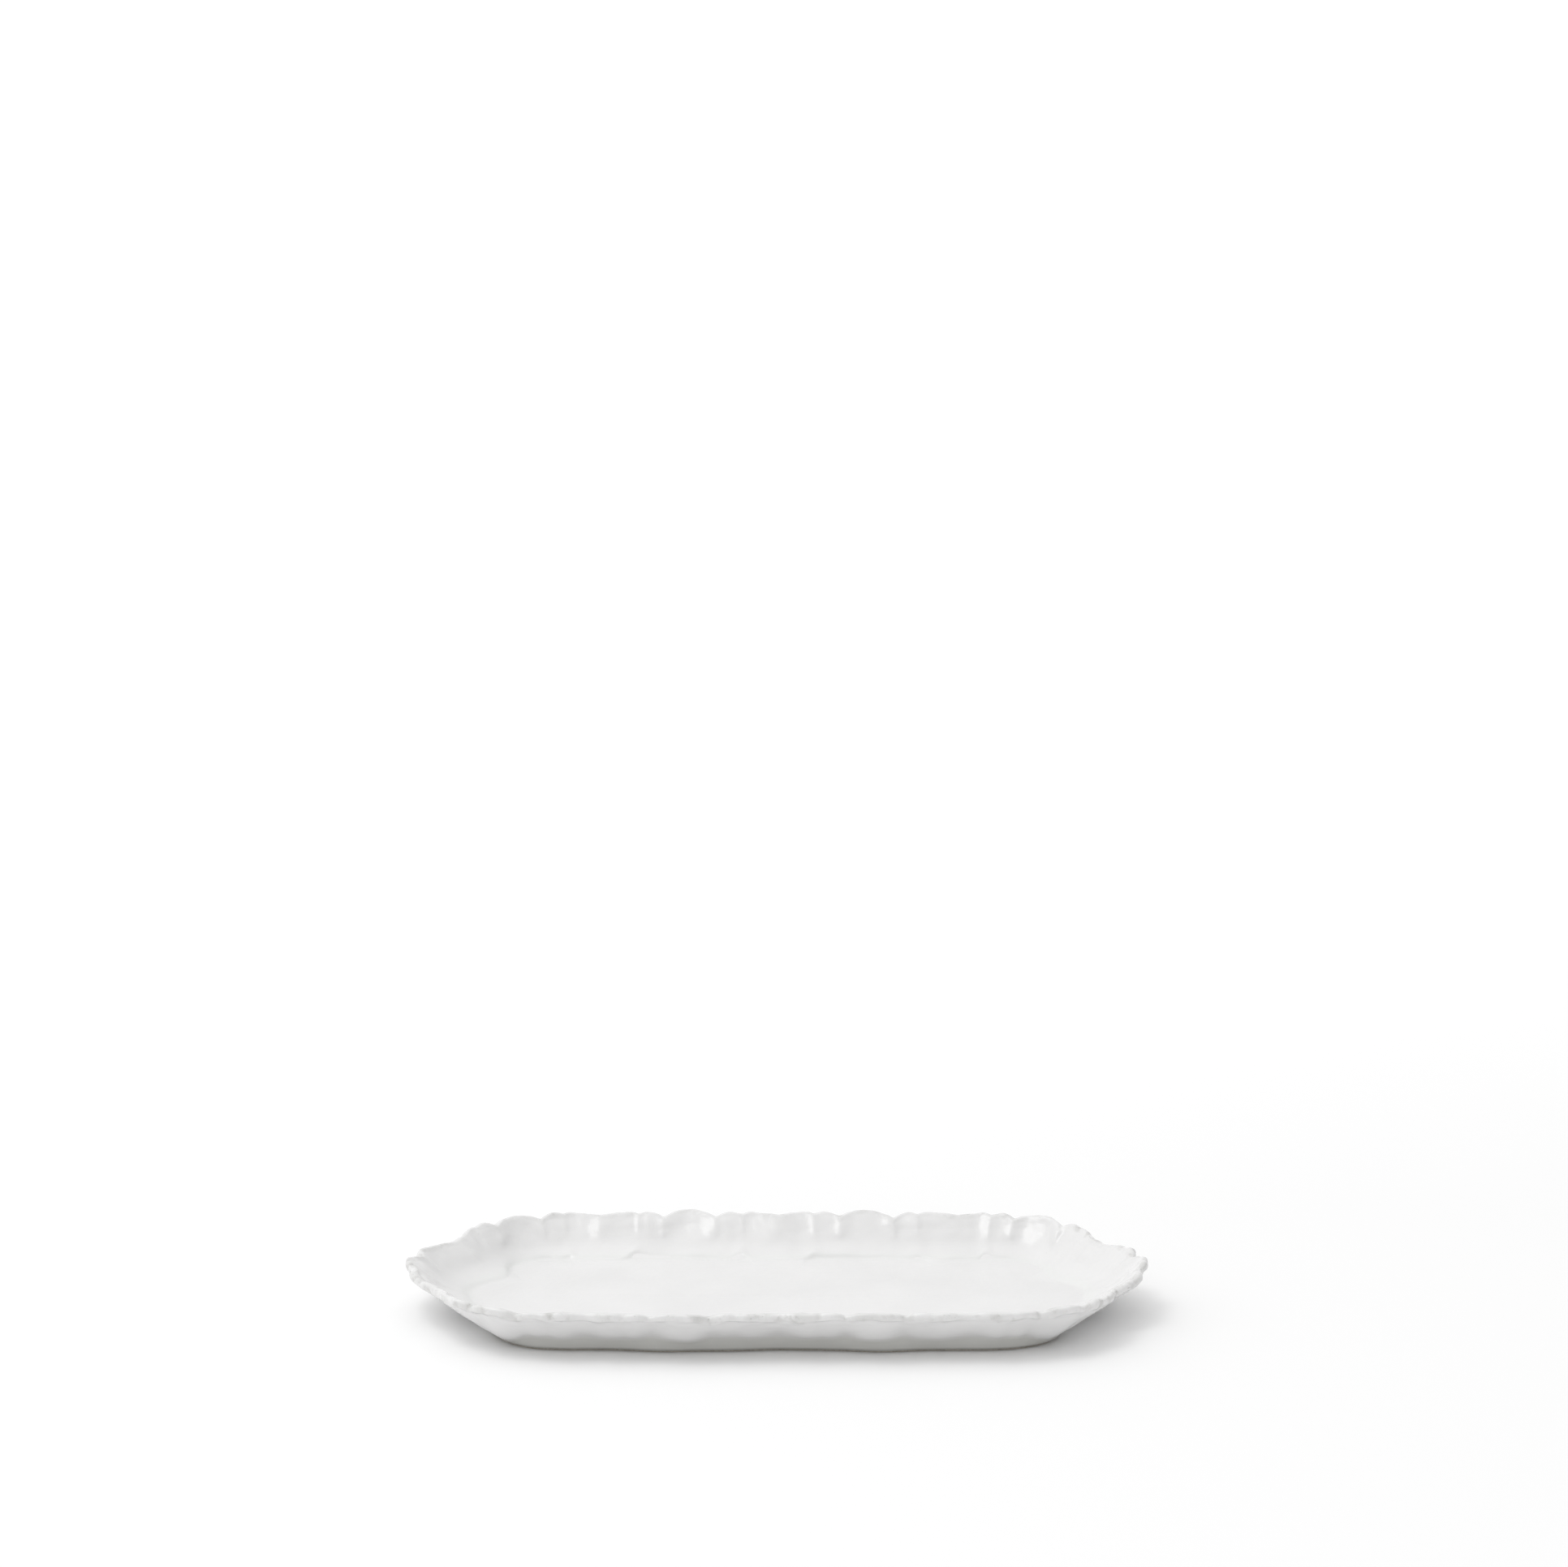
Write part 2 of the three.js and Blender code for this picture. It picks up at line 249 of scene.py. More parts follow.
def under_face(parts, radius):
    """Height of the slab's underside at a distance from the spine, and how far it is shifted out:
    flat, then the wall's back, which rises as the inner wall does. The rim's shift fades down it:
    its broad part evenly, and its flutes, as distance share to the power 1.5, to a small share."""
    crease, foot, lip, shift = parts
    start = crease - BACK_LEAD
    end, top = lip_arc(lip, 1.0)
    t = np.clip((radius - start) / (end - start), 0, 1)
    moved = []
    for part in shift:
        outer, broad = outer_shift(part), soften(part, BROAD_WAVE)
        flutes = BACK_FLUTES + (1 - BACK_FLUTES) * t ** 1.5
        moved.append(broad * t + (outer - broad) * flutes)
    slope = wall_rise((radius - start) / (end - start))
    return UNDERSIDE + (top - UNDERSIDE) * slope + moved[1] * t ** 0.3, moved[0]


def face_outline(s, rows):
    """The glazed face of every station as radius and height arrays, one row per step: across the
    floor, up the wall, round the lip, down the wall's back, through the bend above the foot (a
    quadratic curve) and down the foot's slanted face. rows gives the number of steps in each of
    those stretches. Above the foot the back droops under each scallop, as a bell in distance."""
    parts = slab_parts(s)
    crease, foot, lip, (out, up) = parts
    ny = rim_ray(s)[2]
    inner, inner_top = lip_arc(lip, 0.0)
    steps = [np.linspace(0, 1, n, endpoint=False)[:, None] for n in rows]
    first = 3.0  # the first row lies this far from the spine, and a strip fills the middle
    wall_start = crease - WALL_LEAD
    floor_r = first + (wall_start - first) * steps[0]
    wall_r = wall_start + (inner - wall_start) * steps[1]
    r = np.vstack([floor_r, wall_r])
    t = (r - crease) / (inner - crease)
    z = FLOOR_HEIGHT + (inner_top - FLOOR_HEIGHT) * wall_rise(t)
    z = z + carried(up, t) + thumbed_step(s, ny, r, crease)
    r = r + carried(out, t)
    lip_r, lip_h = lip_arc(lip, steps[2])
    lip_r = lip_r + out + (outer_shift(out) - out) * steps[2]
    lip_h = lip_h + up + (outer_shift(up) - up) * steps[2]
    back_end = lip_arc(lip, 1.0)[0]
    bend = foot + FOOT_FLARE + FOOT_BEND
    back_r = back_end + (bend - back_end) * steps[3]
    back_z, back_out = under_face(parts, back_r)
    bend_z, bend_out = under_face(parts, bend)
    corner = foot + FOOT_FLARE
    corner_z, corner_out = under_face(parts, corner)
    droop = JUNCTION_WAVE * (soften(out, 3.0) - soften(out, BROAD_WAVE)) * ny ** 2
    back_z = back_z - droop * np.exp(-((back_r - bend) / JUNCTION_REACH) ** 2)
    bend_z, corner_z = bend_z - droop, corner_z - droop
    low = foot + 0.6 * FOOT_FLARE
    low_z = corner_z * 0.62
    q = steps[4]
    at_bend, at_corner, at_low = (1 - q) ** 2, 2 * q * (1 - q), q ** 2
    turn_r = at_bend * (bend + bend_out) + at_corner * (corner + corner_out) + at_low * low
    turn_z = at_bend * bend_z + at_corner * corner_z + at_low * low_z
    drop = np.linspace(0, 1, rows[5])[:, None]
    drop_r = low + (foot + 0.1 * FOOT_FLARE - low) * drop
    drop_z = low_z + (GLAZE_END - low_z) * drop
    radius = np.vstack([r, lip_r, back_r + back_out, turn_r, drop_r])
    height = np.vstack([z, lip_h, back_z, turn_z, drop_z])
    return radius, height


def sink(radius, height, depth):
    """An outline moved into the clay: each point goes back by depth along the outline's own
    normal, which is its direction of travel turned a quarter to the left."""
    dr = np.gradient(radius, axis=0)
    dz = np.gradient(height, axis=0)
    length = np.hypot(dr, dz) + 1e-9
    return radius + depth * dz / length, height - depth * dr / length


def place(s, radius, height):
    """Outline rows as points: the spine point plus radius along the outward direction."""
    x, nx, ny = rim_ray(s)
    return np.stack([x + radius * nx, radius * ny, height + 0 * s], axis=-1)


def grid_faces(rows, closed):
    """Quads between neighbouring rows and stations. An open grid's first and last rows are closed
    by strips across the platter, between stations that mirror each other in the X axis."""
    count = STATIONS
    row = np.arange(rows if closed else rows - 1)[:, None]
    i = np.arange(count)[None, :]
    here, below, turn = row * count, (row + 1) % rows * count, (i + 1) % count
    quads = np.stack([here + i, below + i, below + turn, here + turn], -1)
    faces = quads.reshape(-1, 4).tolist()
    if not closed:
        a = np.arange(1, count // 2 - 1)
        strip = np.stack([a, a + 1, count - a - 1, count - a], -1)
        last = (rows - 1) * count
        faces += strip.tolist() + (strip[:, ::-1] + last).tolist()
        half = count // 2  # the station at the -X tip; a triangle closes each tip
        faces += [[0, 1, count - 1], [half - 1, half, half + 1]]
        faces += [[last + count - 1, last + 1, last], [last + half + 1, last + half, last + half - 1]]
    return faces


def lay_mesh(name, points, closed, material, marks=None):
    """A smooth closed mesh from rows of points, with its named marks as vertex attributes."""
    rows = points.shape[0]
    mesh = bpy.data.meshes.new(name)
    mesh.from_pydata((points.reshape(-1, 3) * MM).tolist(), [], grid_faces(rows, closed))
    for mark, values in (marks or {}).items():
        attribute = mesh.attributes.new(mark, "FLOAT", "POINT")
        attribute.data.foreach_set("value", np.ascontiguousarray(values, dtype=np.float32).ravel())
    mesh.validate()
    mesh.polygons.foreach_set("use_smooth", np.ones(len(mesh.polygons), dtype=bool))
    mesh.materials.append(material)
    piece = bpy.data.objects.new(name, mesh)
    bpy.context.scene.collection.objects.link(piece)
    return piece


def clay_material(name, colour, speck):
    """Fired clay: a fine two-tone grain, darker specks and a rough bumpy face."""
    material = bpy.data.materials.new(name)
    material.use_nodes = True
    nodes, links = material.node_tree.nodes, material.node_tree.links
    shader = nodes["Principled BSDF"]
    place_node = nodes.new("ShaderNodeTexCoord")
    grain = nodes.new("ShaderNodeTexNoise")
    grain.inputs["Scale"].default_value = 900
    grain.inputs["Detail"].default_value = 6
    links.new(place_node.outputs["Object"], grain.inputs["Vector"])
    ramp = nodes.new("ShaderNodeValToRGB")
    ramp.color_ramp.elements[0].position = 0.35
    ramp.color_ramp.elements[0].color = (*speck, 1)
    ramp.color_ramp.elements[1].position = 0.62
    ramp.color_ramp.elements[1].color = (*colour, 1)
    links.new(grain.outputs["Fac"], ramp.inputs["Fac"])
    links.new(ramp.outputs["Color"], shader.inputs["Base Color"])
    shader.inputs["Roughness"].default_value = 0.85
    bump = nodes.new("ShaderNodeBump")
    bump.inputs["Strength"].default_value = 0.4
    bump.inputs["Distance"].default_value = 0.0003
    links.new(grain.outputs["Fac"], bump.inputs["Height"])
    links.new(bump.outputs["Normal"], shader.inputs["Normal"])
    return material


slab_clay = clay_material("slab_clay", (0.62, 0.58, 0.52), (0.42, 0.38, 0.33))
rim_s = np.arange(STATIONS) * RIM_LENGTH / STATIONS
face_steps = (8, 30, 14, 14, 6, 4)
first_lip = face_steps[0] + face_steps[1]
first_back = first_lip + face_steps[2]
last_back = first_back + face_steps[3]
face_r, face_z = face_outline(rim_s, face_steps)

# The hidden faces of slab and glaze share a few of the face's rows: every sixth on the walls,
# every second round the lip and all of them at the foot.
wall_rows, lip_rows = np.arange(0, first_lip, 6), np.arange(first_lip, first_back, 2)
back_rows, foot_rows = np.arange(first_back, last_back, 6), np.arange(last_back, sum(face_steps))
hidden_rows = np.concatenate([wall_rows, lip_rows, back_rows, foot_rows])
slab_rows = hidden_rows[hidden_rows <= last_back]
slab_r, slab_z = sink(face_r, face_z, GLAZE + GAP)

# Under the glazed face the slab runs in over the foot ring, its seat, and then over the sunk bed.
parts = slab_parts(rim_s)
slab_crease, slab_foot = parts[:2]
seat_out = slab_foot - GLAZE - GAP + 0.5 * FOOT_FLARE
seat_in = slab_foot - FOOT_WIDTH + GLAZE + GAP
seat_r = seat_out + (seat_in - seat_out) * np.linspace(0, 1, 7)[:, None]
seat_z = under_face(parts, seat_r)[0] + GLAZE + GAP
bed_inset = 3
bed_r = np.minimum(slab_crease - BACK_LEAD, slab_foot - FOOT_WIDTH)[None, :] - bed_inset
bed_z = np.full_like(bed_r, UNDERSIDE + GLAZE + GAP)
slab_r = np.vstack([slab_r[slab_rows], seat_r, bed_r])
slab_z = np.vstack([slab_z[slab_rows], seat_z, bed_z])
slab = lay_mesh("pressed_slab", place(rim_s, slab_r, slab_z), False, slab_clay)
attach(slab, "root")
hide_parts("platter_body")

# ---- The foot ring ----
# A strip of the same clay, luted on under the slab with slip and trued on a flat board, so the
# platter stands level. Its bottom was wiped clean of glaze before firing and shows bare clay,
# painted darker than the slab's as painted shade, so that its edge on the table reads as a dark
# contact shadow.

# Painted shade: this clay is darker than the slab's, so that the foot's edge on the table reads as a
# dark contact shadow.
foot_clay_darkened_as_shade = clay_material("bare_foot_clay", (0.56, 0.52, 0.46), (0.40, 0.36, 0.31))
foot_out = slab_foot - GLAZE - GAP


def foot_outline():
    """The strip's section: a quarter arc at each bottom edge, worn round, straight sides, and a
    top that follows the slab's seat at the distance of the gap."""
    worn = 0.7  # radius of both arcs
    arc = np.linspace(0, np.pi / 2, 5)[:, None]
    outer_r = foot_out - worn + worn * np.cos(arc)
    inner_r = seat_in + worn - worn * np.sin(arc)
    outer_z = worn - worn * np.sin(arc) + 0 * foot_out
    inner_z = worn - worn * np.cos(arc) + 0 * foot_out
    top_r, top_z = seat_r[::-1], seat_z[::-1] - GAP
    return np.vstack([outer_r, inner_r, top_r]), np.vstack([outer_z, inner_z, top_z])


foot_ring = lay_mesh("luted_foot_ring", place(rim_s, *foot_outline()), True, foot_clay_darkened_as_shade)
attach(foot_ring, "root")
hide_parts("foot_ring")

# ---- The glaze over the face ----
# A thick milky tin-white glaze, dipped and fired glossy. It pools in the crease and the scoops,
# and drags thin over the lip, where the clay and the marks of the hand show through.

LUMP_WAVES = 28


def lumps(points, longest, shortest, seed):
    """Soft lumps in space: many plane sine waves with seeded directions, lengths and phases,
    added at each point, with a root mean square of about one."""
    draw = np.random.default_rng(seed)
    total = np.zeros(points.shape[:-1])
    for _ in range(LUMP_WAVES):
        direction = draw.normal(size=3)
        direction /= np.linalg.norm(direction)
        length = math.exp(draw.uniform(math.log(shortest), math.log(longest)))
        total += np.sin(2 * np.pi / length * (points @ direction) + draw.uniform(0, 6.28))
    return total / math.sqrt(LUMP_WAVES / 2)


def face_normals(points):
    """Outward directions of a grid of rows: the cross product of its two directions of travel."""
    along = np.roll(points, -1, axis=1) - np.roll(points, 1, axis=1)
    down = np.gradient(points, axis=0)
    normal = np.cross(down, along)
    return normal / (np.linalg.norm(normal, axis=-1, keepdims=True) + 1e-12)


# Where each part of the face lies, as shares of each row from none to all.
coat = place(rim_s, face_r, face_z)
row = np.arange(coat.shape[0])[:, None]
end_nx = rim_ray(rim_s)[1]
lip_middle = first_lip + face_steps[2] / 2
lip_mark = np.clip(1 - np.abs(row - lip_middle) / 9.0, 0, 1) ** 0.6 + 0 * rim_s
foot_fade = np.clip((coat.shape[0] - 1 - row) / 6.0, 0, 1)
centre_fade = np.clip(row / 10.0, 0, 1)
on_wall = np.clip((row - face_steps[0]) / 6.0, 0, 1) * (row < first_lip)
on_back = (row >= first_back) * foot_fade
tuck = np.exp(-((row - first_back - 0.5) / 2.2) ** 2)
near_rim = np.clip((row - first_lip + 14) / 10.0, 0, 1) * (row < first_back + 4)
up_the_wall = np.clip((row - first_lip + 22) / 18.0, 0, 1) * (row < first_back)

# The relief that the hand and the glaze leave, outwards in millimetres: lumps of the lip, of the
# whole face, of the wall and of its back, a tuck under the lip, small lumps near the rim, and
# wrinkles up the two end walls. No hollow is deeper than the glaze can hide.
relief = 0.22 * lip_mark * lumps(coat, 24, 8, 11)
relief += 0.10 * lumps(coat, 60, 22, 12) * foot_fade * centre_fade
relief += 0.09 * lumps(coat, 34, 11, 17) * on_wall
relief += 0.18 * lumps(coat, 40, 16, 13) * on_back
relief -= tuck * (0.10 + 0.08 * lumps(coat, 30, 12, 15))
relief += 0.07 * lumps(coat, 11, 5, 18) * near_rim
wrinkle = waver(rim_s, 0.20, (47, 61, 73, 89, 109), 19) * np.clip(end_nx + 0.35, 0, 1)
wrinkle += waver(rim_s, 0.10, (53, 67, 83, 101), 20) * np.clip(-end_nx, 0, 1)
relief += wrinkle * up_the_wall
deepest = 0.3
relief = soft_ramp(relief + deepest, 0.06) - deepest
coat = coat + face_normals(coat) * (relief * foot_fade)[..., None]
back_r, back_z = sink(face_r, face_z, GLAZE)
backing = place(rim_s, back_r[hidden_rows[::-1]], back_z[hidden_rows[::-1]])

# Marks for the material: the glaze is thin along the lip, most so at the notches and round the
# ends, pools in the crease, and darkens towards the foot, partly as thinner glaze and partly as
# painted shade of the foot band. The last three steer its brushed streaks.
from_lobe = np.abs(rim_s / UNIT - np.round(rim_s / UNIT)) * UNIT
notch = np.exp(-((from_lobe - LOBE_HALF) / 1.6) ** 2)
notch += 0.7 * np.exp(-((from_lobe - LOBE_HALF - PETAL) / 1.6) ** 2)
thinness = 0.55 + 0.3 * notch + 0.25 * lumps(coat, 50, 20, 14) + 0.4 * end_nx ** 2
thin = np.clip(lip_mark * thinness, 0, 1)
# Partly painted shade: this mask darkens the glaze down the foot band, which lies in the shade under
# the wall.
foot_grey_and_shade_mask = np.clip((row - last_back + 1) / 5.0, 0, 1) + 0 * rim_s
crease_row = face_steps[0] + 6
pool = np.exp(-((row - crease_row) / 3.0) ** 2) + 0 * rim_s
round_the_rim = 2 * np.pi * rim_s / RIM_LENGTH + 0 * face_r
hidden = np.zeros(backing.shape[:2])
marks = {
    "thin_glaze": np.vstack([thin, hidden]),
    "pooled_glaze": np.vstack([pool, hidden]),
    "foot_grey_and_shade": np.vstack([foot_grey_and_shade_mask, hidden]),
    "across_the_wall": np.vstack([face_r + face_z, hidden]),
    "round_the_rim_1": np.vstack([np.cos(round_the_rim), hidden]),
    "round_the_rim_2": np.vstack([np.sin(round_the_rim), hidden]),
}


def glaze_material(name, colour, roughness):
    """Milky glaze: a faint cloudy drift of tone, worn, pitted and grey in patches where it is
    thin, greener where it pools and darker grey at the foot, partly thinner glaze and partly
    painted shade, with sparse pinholes, a slow orange-peel ripple and streaks dragged round the
    rim. A piece without marks reads them all as none."""
    material = bpy.data.materials.new(name)
    material.use_nodes = True
    nodes, links = material.node_tree.nodes, material.node_tree.links
    shader = nodes["Principled BSDF"]
    shader.inputs["Roughness"].default_value = roughness
    shader.inputs["IOR"].default_value = 1.5
    coordinates = nodes.new("ShaderNodeTexCoord")

    def noise(scale, detail):
        node = nodes.new("ShaderNodeTexNoise")
        node.inputs["Scale"].default_value = scale
        node.inputs["Detail"].default_value = detail
        links.new(coordinates.outputs["Object"], node.inputs["Vector"])
        return node.outputs["Fac"]

    def ramp(source, low, high, first, last):
        node = nodes.new("ShaderNodeValToRGB")
        node.color_ramp.elements[0].position = low
        node.color_ramp.elements[1].position = high
        node.color_ramp.elements[0].color = (*first, 1)
        node.color_ramp.elements[1].color = (*last, 1)
        links.new(source, node.inputs["Fac"])
        return node.outputs["Color"]

    def mix(factor, below, above):
        node = nodes.new("ShaderNodeMix")
        node.data_type = "RGBA"
        links.new(factor, node.inputs[0])
        links.new(below, node.inputs[6])
        node.inputs[7].default_value = (*above, 1)
        return node.outputs[2]

    def times(a, b):
        node = nodes.new("ShaderNodeMath")
        node.operation = "MULTIPLY"
        links.new(a, node.inputs[0])
        if isinstance(b, float):
            node.inputs[1].default_value = b
        else:
            links.new(b, node.inputs[1])
        return node.outputs[0]

    def total_of(a, b):
        node = nodes.new("ShaderNodeMath")
        links.new(a, node.inputs[0])
        links.new(b, node.inputs[1])
        return node.outputs[0]

    def mark(name):
        node = nodes.new("ShaderNodeAttribute")
        node.attribute_name = name
        return node.outputs["Fac"]

    brushed = nodes.new("ShaderNodeCombineXYZ")
    links.new(times(mark("round_the_rim_1"), 0.03), brushed.inputs[0])
    links.new(times(mark("round_the_rim_2"), 0.03), brushed.inputs[1])
    links.new(times(mark("across_the_wall"), 0.001), brushed.inputs[2])
    streaks = nodes.new("ShaderNodeTexNoise")
    streaks.inputs["Scale"].default_value = 420
    streaks.inputs["Detail"].default_value = 3
    links.new(brushed.outputs[0], streaks.inputs["Vector"])
    pinholes = nodes.new("ShaderNodeTexVoronoi")
    pinholes.inputs["Scale"].default_value = 420
    links.new(coordinates.outputs["Object"], pinholes.inputs["Vector"])
    black, white = (0, 0, 0), (1, 1, 1)
    darker = tuple(0.965 * c for c in colour)
    tone = ramp(noise(26, 4), 0.35, 0.65, darker, colour)
    green = (colour[0] * 0.96, colour[1] * 0.975, colour[2] * 0.96)
    tone = mix(times(mark("pooled_glaze"), 0.6), tone, green)
    worn = times(mark("thin_glaze"), ramp(noise(190, 9), 0.50, 0.66, black, white))
    tone = mix(times(worn, 0.6), tone, (0.42, 0.41, 0.39))
    pitted = ramp(noise(90, 4), 0.54, 0.60, black, white)
    pit_shapes = ramp(pinholes.outputs["Distance"], 0.16, 0.24, white, black)
    pitted = times(times(mark("thin_glaze"), pitted), pit_shapes)
    tone = mix(times(pitted, 0.35), tone, (0.30, 0.29, 0.27))
    patches = times(mark("thin_glaze"), ramp(noise(75, 5), 0.44, 0.60, black, white))
    tone = mix(times(patches, 0.45), tone, (0.54, 0.54, 0.52))
    # Painted shade, in part: the foot band's glaze is mixed towards dark grey, as thinner glaze and
    # as the shade under the wall's overhang.
    tone = mix(times(mark("foot_grey_and_shade"), 0.6), tone, (0.46, 0.46, 0.42))
    pin = ramp(noise(800, 2), 0.76, 0.79, black, white)
    tone = mix(times(pin, 0.2), tone, (0.35, 0.33, 0.30))
    links.new(tone, shader.inputs["Base Color"])

    ripple = nodes.new("ShaderNodeBump")
    ripple.inputs["Strength"].default_value = 0.25
    ripple.inputs["Distance"].default_value = 0.0006
    links.new(noise(60, 3), ripple.inputs["Height"])
    peel = nodes.new("ShaderNodeBump")
    peel.inputs["Strength"].default_value = 0.3
    peel.inputs["Distance"].default_value = 0.00022
    links.new(noise(230, 2), peel.inputs["Height"])
    links.new(ripple.outputs["Normal"], peel.inputs["Normal"])
    drag = nodes.new("ShaderNodeBump")
    drag.inputs["Strength"].default_value = 0.3
    drag.inputs["Distance"].default_value = 0.0002
    links.new(streaks.outputs["Fac"], drag.inputs["Height"])
    links.new(peel.outputs["Normal"], drag.inputs["Normal"])
    pits = nodes.new("ShaderNodeBump")
    pits.invert = True
    pits.inputs["Strength"].default_value = 0.7
    pits.inputs["Distance"].default_value = 0.0004
    links.new(total_of(worn, pitted), pits.inputs["Height"])
    links.new(drag.outputs["Normal"], pits.inputs["Normal"])
    links.new(pits.outputs["Normal"], shader.inputs["Normal"])
    return material


face_glaze = glaze_material("milk_white_glaze", (0.815, 0.812, 0.81), 0.19)
coat_piece = lay_mesh("face_glaze_coat", np.vstack([coat, backing]), False, face_glaze, marks)
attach(coat_piece, "root")
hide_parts("glaze_upper")

# ---- The glaze on the underside ----
# The same glaze, thinner and a little duller, on the sunk underside within the foot ring.

under_glaze = glaze_material("thin_underside_glaze", (0.76, 0.755, 0.73), 0.25)
well_in = slab_foot - FOOT_WIDTH
well_top = under_face(parts, well_in)[0]
inner_bed = bed_r[0]
under_r = np.vstack([inner_bed, well_in + GLAZE, well_in + GLAZE, well_in, well_in, inner_bed])
under_z = np.vstack([
    UNDERSIDE + GLAZE + 0 * well_in,
    well_top + GLAZE,
    GLAZE_END + 0 * well_in,
    GLAZE_END + 0 * well_in,
    well_top,
    UNDERSIDE + 0 * well_in,
])
under_coat = lay_mesh("underside_glaze_coat", place(rim_s, under_r, under_z), False, under_glaze)
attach(under_coat, "root")
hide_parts("glaze_underside")

# ---- Floor, light and camera ----
# A white table that glows faintly towards a lit screen far behind, a soft key light high on the
# left and a little in front, and a white room that is brightest overhead, then at the left side.
# The camera looks down a little on the platter from in front.

table_half = 12.0  # metres, as all of this section is
table_mesh = bpy.data.meshes.new("white_table")
corners = [(-table_half, -table_half, 0), (table_half, -table_half, 0)]
corners += [(table_half, table_half, 0), (-table_half, table_half, 0)]
table_mesh.from_pydata(corners, [], [(0, 1, 2, 3)])
table = bpy.data.objects.new("white_table", table_mesh)
bpy.context.scene.collection.objects.link(table)
table_white = bpy.data.materials.new("table_white")
table_white.use_nodes = True
table_shader = table_white.node_tree.nodes["Principled BSDF"]
table_shader.inputs["Base Color"].default_value = (0.92, 0.92, 0.92, 1)
table_shader.inputs["Roughness"].default_value = 0.9
table_shader.inputs["Specular IOR Level"].default_value = 0.0
table_nodes, table_links = table_white.node_tree.nodes, table_white.node_tree.links
table_place = table_nodes.new("ShaderNodeTexCoord")
table_split = table_nodes.new("ShaderNodeSeparateXYZ")
table_links.new(table_place.outputs["Object"], table_split.inputs[0])
# Painted light: the table glows, more the further back it lies, so that the far floor reads as full
# white.
painted_glow_towards_back = table_nodes.new("ShaderNodeMapRange")
painted_glow_towards_back.inputs["From Min"].default_value = 0.2
painted_glow_towards_back.inputs["From Max"].default_value = 2.2
painted_glow_towards_back.inputs["To Max"].default_value = 0.15
table_links.new(table_split.outputs["Y"], painted_glow_towards_back.inputs["Value"])
table_shader.inputs["Emission Color"].default_value = (1, 1, 1, 1)
table_links.new(painted_glow_towards_back.outputs[0], table_shader.inputs["Emission Strength"])
table_mesh.materials.append(table_white)

screen_half, screen_away, screen_top = 2.2, 4.0, 1.15
screen_mesh = bpy.data.meshes.new("lit_screen")
corners = [(-screen_half, screen_away, 0), (screen_half, screen_away, 0)]
corners += [(screen_half, screen_away, screen_top), (-screen_half, screen_away, screen_top)]
screen_mesh.from_pydata(corners, [], [(0, 1, 2, 3)])
screen = bpy.data.objects.new("lit_screen", screen_mesh)
bpy.context.scene.collection.objects.link(screen)
screen_white = bpy.data.materials.new("screen_white")
screen_white.use_nodes = True
screen_shader = screen_white.node_tree.nodes["Principled BSDF"]
screen_shader.inputs["Base Color"].default_value = (0.02, 0.02, 0.02, 1)
screen_shader.inputs["Roughness"].default_value = 1.0
screen_shader.inputs["Emission Color"].default_value = (1, 1, 1, 1)
screen_shader.inputs["Emission Strength"].default_value = 1.03
screen_mesh.materials.append(screen_white)

key_at, platter_middle = Vector((-0.92, -0.35, 2.18)), Vector((0, 0, 0.01))
key_light = bpy.data.lights.new("key_softbox", "AREA")
key_light.shape = "SQUARE"
key_light.size = 0.85
key_light.energy = 7
key = bpy.data.objects.new("key_softbox", key_light)
key.location = key_at
key.rotation_euler = (platter_middle - key_at).to_track_quat("-Z", "Y").to_euler()
bpy.context.scene.collection.objects.link(key)

world = bpy.data.worlds.new("white_room")
world.use_nodes = True
room_nodes, room_links = world.node_tree.nodes, world.node_tree.links
facing = room_nodes.new("ShaderNodeTexCoord")


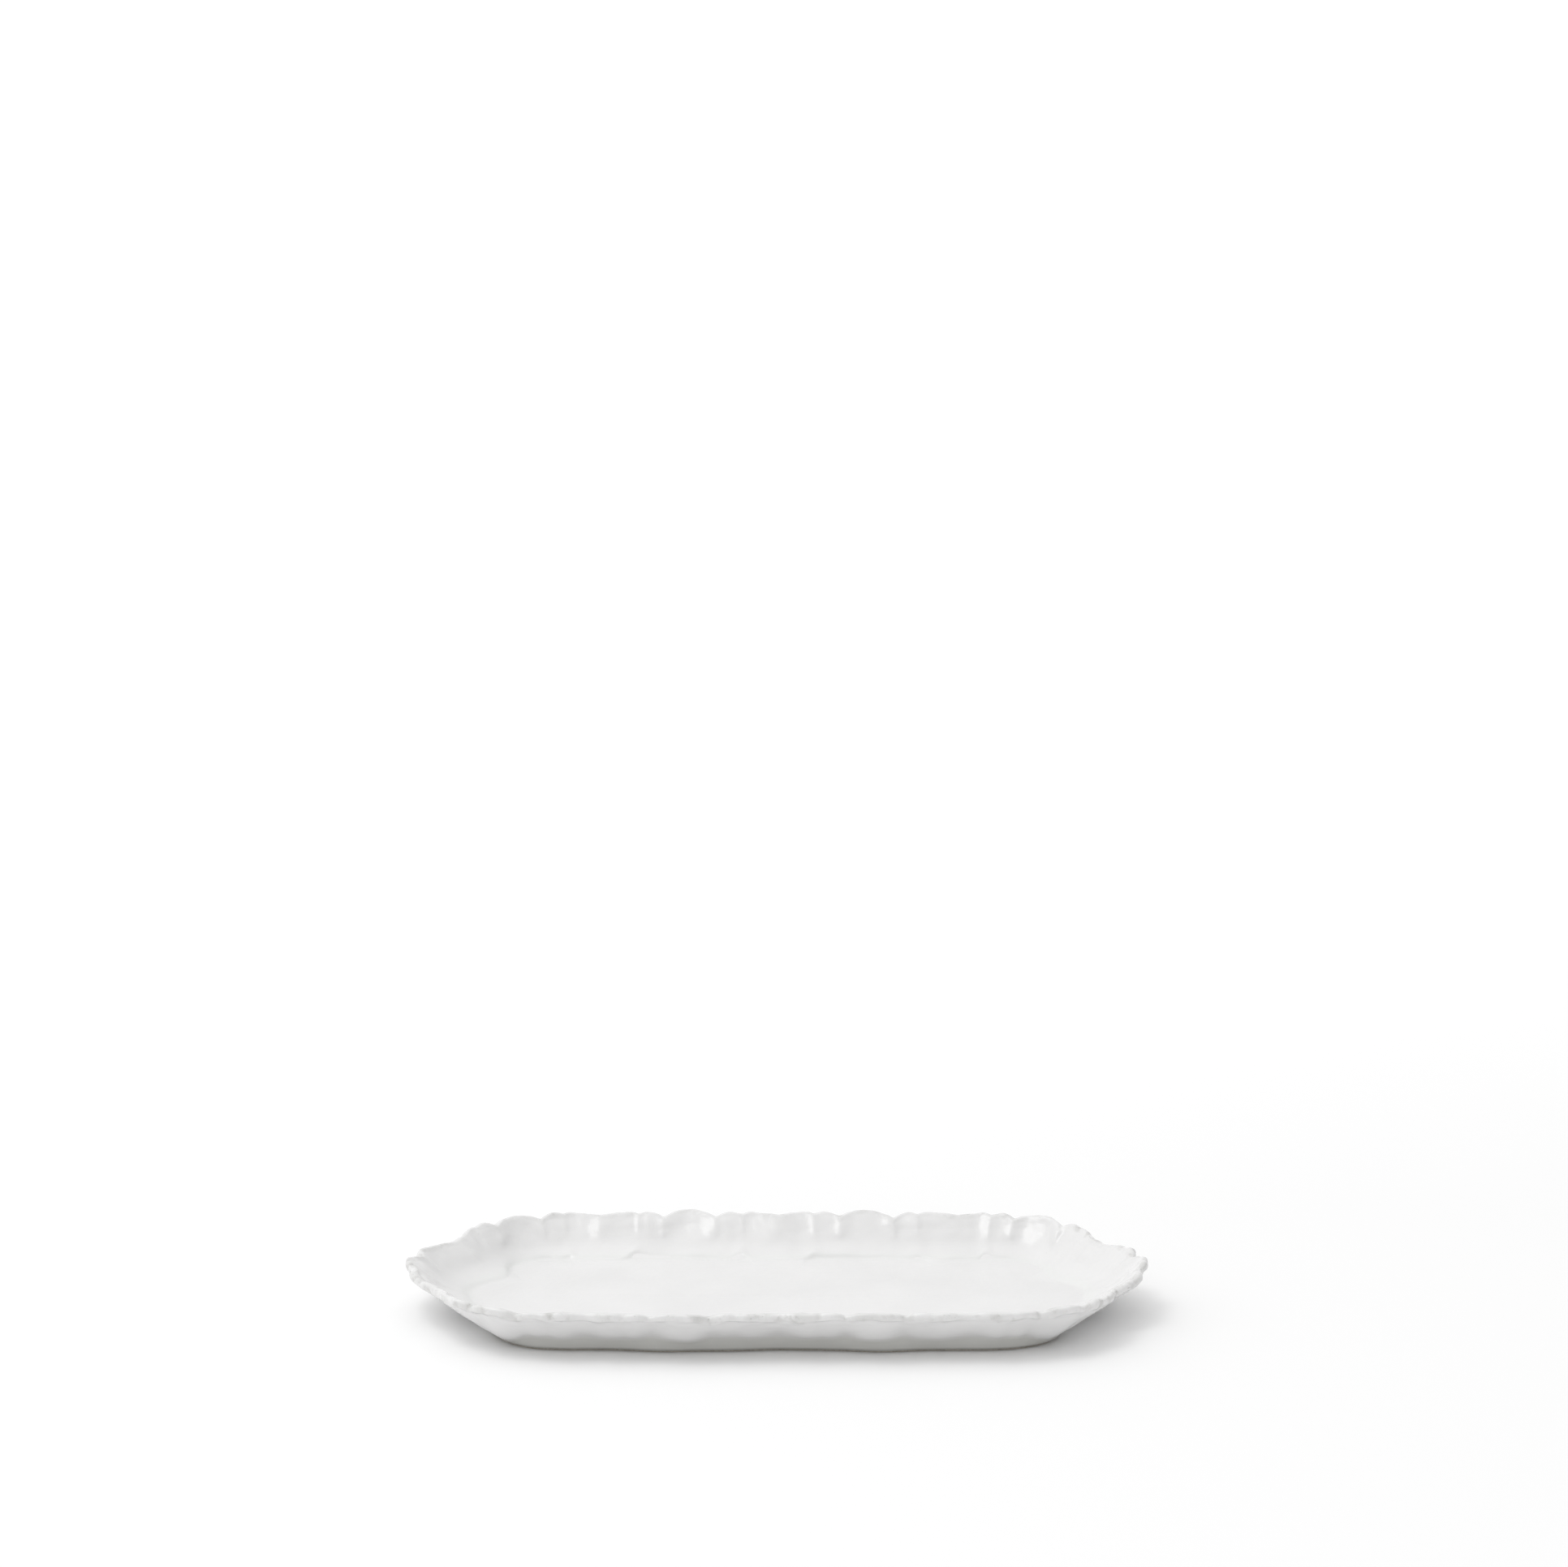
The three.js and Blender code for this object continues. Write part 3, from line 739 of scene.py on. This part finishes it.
def glow(towards, power, strength):
    """Part of the room's light: the cosine of the angle from a direction, to a power."""
    cosine = room_nodes.new("ShaderNodeVectorMath")
    cosine.operation = "DOT_PRODUCT"
    cosine.inputs[1].default_value = Vector(towards).normalized()
    room_links.new(facing.outputs["Generated"], cosine.inputs[0])
    lit = room_nodes.new("ShaderNodeMath")
    lit.operation = "MAXIMUM"
    lit.inputs[1].default_value = 0
    room_links.new(cosine.outputs["Value"], lit.inputs[0])
    curve = room_nodes.new("ShaderNodeMath")
    curve.operation = "POWER"
    curve.inputs[1].default_value = power
    room_links.new(lit.outputs[0], curve.inputs[0])
    share = room_nodes.new("ShaderNodeMath")
    share.operation = "MULTIPLY"
    share.inputs[1].default_value = strength
    room_links.new(curve.outputs[0], share.inputs[0])
    return share.outputs[0]


def total(a, b):
    """Two parts of the room's light together."""
    sum_node = room_nodes.new("ShaderNodeMath")
    room_links.new(a, sum_node.inputs[0])
    room_links.new(b, sum_node.inputs[1])
    return sum_node.outputs[0]


ceiling = glow((-0.20, 0.08, 0.95), 3.0, 1.13)
window_side = glow((-0.95, -0.1, 0.3), 2.0, 0.62)
far_side = glow((0.95, -0.1, 0.3), 2.0, 0.38)
backdrop = glow((0.0, 1.0, 0.15), 2.0, 0.45)
front_fill = room_nodes.new("ShaderNodeValue")
front_fill.outputs[0].default_value = 0.22
front_low = glow((0.0, -1.0, 0.03), 6.0, 0.75)
sides = total(window_side, far_side)
room = total(total(ceiling, backdrop), total(sides, total(front_low, front_fill.outputs[0])))
room_links.new(room, room_nodes["Background"].inputs["Strength"])
room_nodes["Background"].inputs["Color"].default_value = (1, 1, 1, 1)
bpy.context.scene.world = world
bpy.context.scene.view_settings.view_transform = "Standard"

camera_data = bpy.data.cameras.new("camera")
camera_data.lens = 75.04
camera_data.sensor_width = 36
camera_data.clip_end = 100
camera = bpy.data.objects.new("camera", camera_data)
camera.location = (0.003685, -1.79002, 0.58453)
camera.rotation_euler = (math.radians(90 - 8.958), 0, 0)
bpy.context.scene.collection.objects.link(camera)
bpy.context.scene.camera = camera
